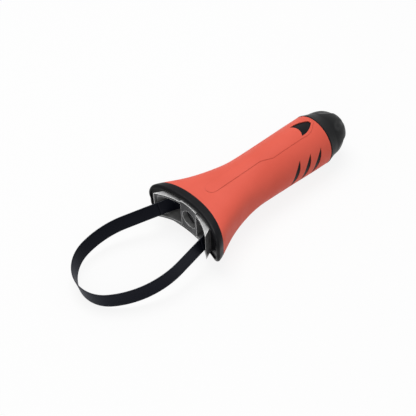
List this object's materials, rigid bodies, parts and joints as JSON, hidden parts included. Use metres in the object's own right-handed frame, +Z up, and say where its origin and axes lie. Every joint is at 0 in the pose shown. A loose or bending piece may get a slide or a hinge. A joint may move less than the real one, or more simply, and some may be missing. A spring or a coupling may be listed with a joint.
{
  "type": "strap wrench",
  "caption": "Hand tool whose loop of thin steel band is drawn tight round a filter or jar by a turning knob on the end of its flared grip.",
  "frame": {"origin": "centre of the strap loop's front arc, on the axis of the round object it grips", "axes": "+X along the grip from the loop to the knob, +Y to the left of the grip, +Z up, square to the grip; the loop's own axis leans back because the loop droops"},
  "size_m": [0.2502, 0.0791, 0.0446],
  "materials": {
    "core_plastic": "moulded, satin",
    "knob_plastic": "moulded, fine matt texture",
    "grip_rubber": "soft moulded, satin",
    "jaw_alloy": "die-cast, tumbled",
    "band_steel": "blued and oiled",
    "steel": "zinc plated",
    "spring_steel": "phosphated",
    "brass": "turned",
    "rubber": "matt"
  },
  "bodies": {
    "handle": {"housing": "core_plastic", "grip_sleeve": "grip_rubber", "jaw": "jaw_alloy", "jaw_screws": "steel", "bearing_cap": "knob_plastic", "front_bush": "brass", "stop_washer": "rubber", "rear_bush": "brass", "band_loop": "band_steel"},
    "knob": {"knob": "knob_plastic", "knob_cap": "knob_plastic", "knob_screw": "steel", "knob_washer": "steel", "lead_screw": "steel", "thrust_washer": "steel", "clip_washer": "steel", "retaining_clip": "spring_steel"},
    "carriage": {"carriage": "jaw_alloy", "carriage_nut": "brass", "clamp_plate_left": "steel", "clamp_plate_right": "steel", "band_rivets": "steel", "band_tail_left": "band_steel", "band_tail_right": "band_steel"}
  },
  "joints": [
    {"name": "knob_turn", "type": "hinge", "parent": "handle", "child": "knob", "pos_m": [0.18902, -0.0099, 0.01049], "axis": [-1, 0, 0], "range_deg": [0, 5310]},
    {"name": "carriage_slide", "type": "slide", "parent": "handle", "child": "carriage", "axis": [1, 0, 0], "range_m": [0, 0.04425], "deforming": ["band_loop", "band_tail_left", "band_tail_right"]}
  ],
  "couplings": [
    {"joint": "carriage_slide", "follows": "knob_turn", "m_per_rad": 0.00047746}
  ]
}
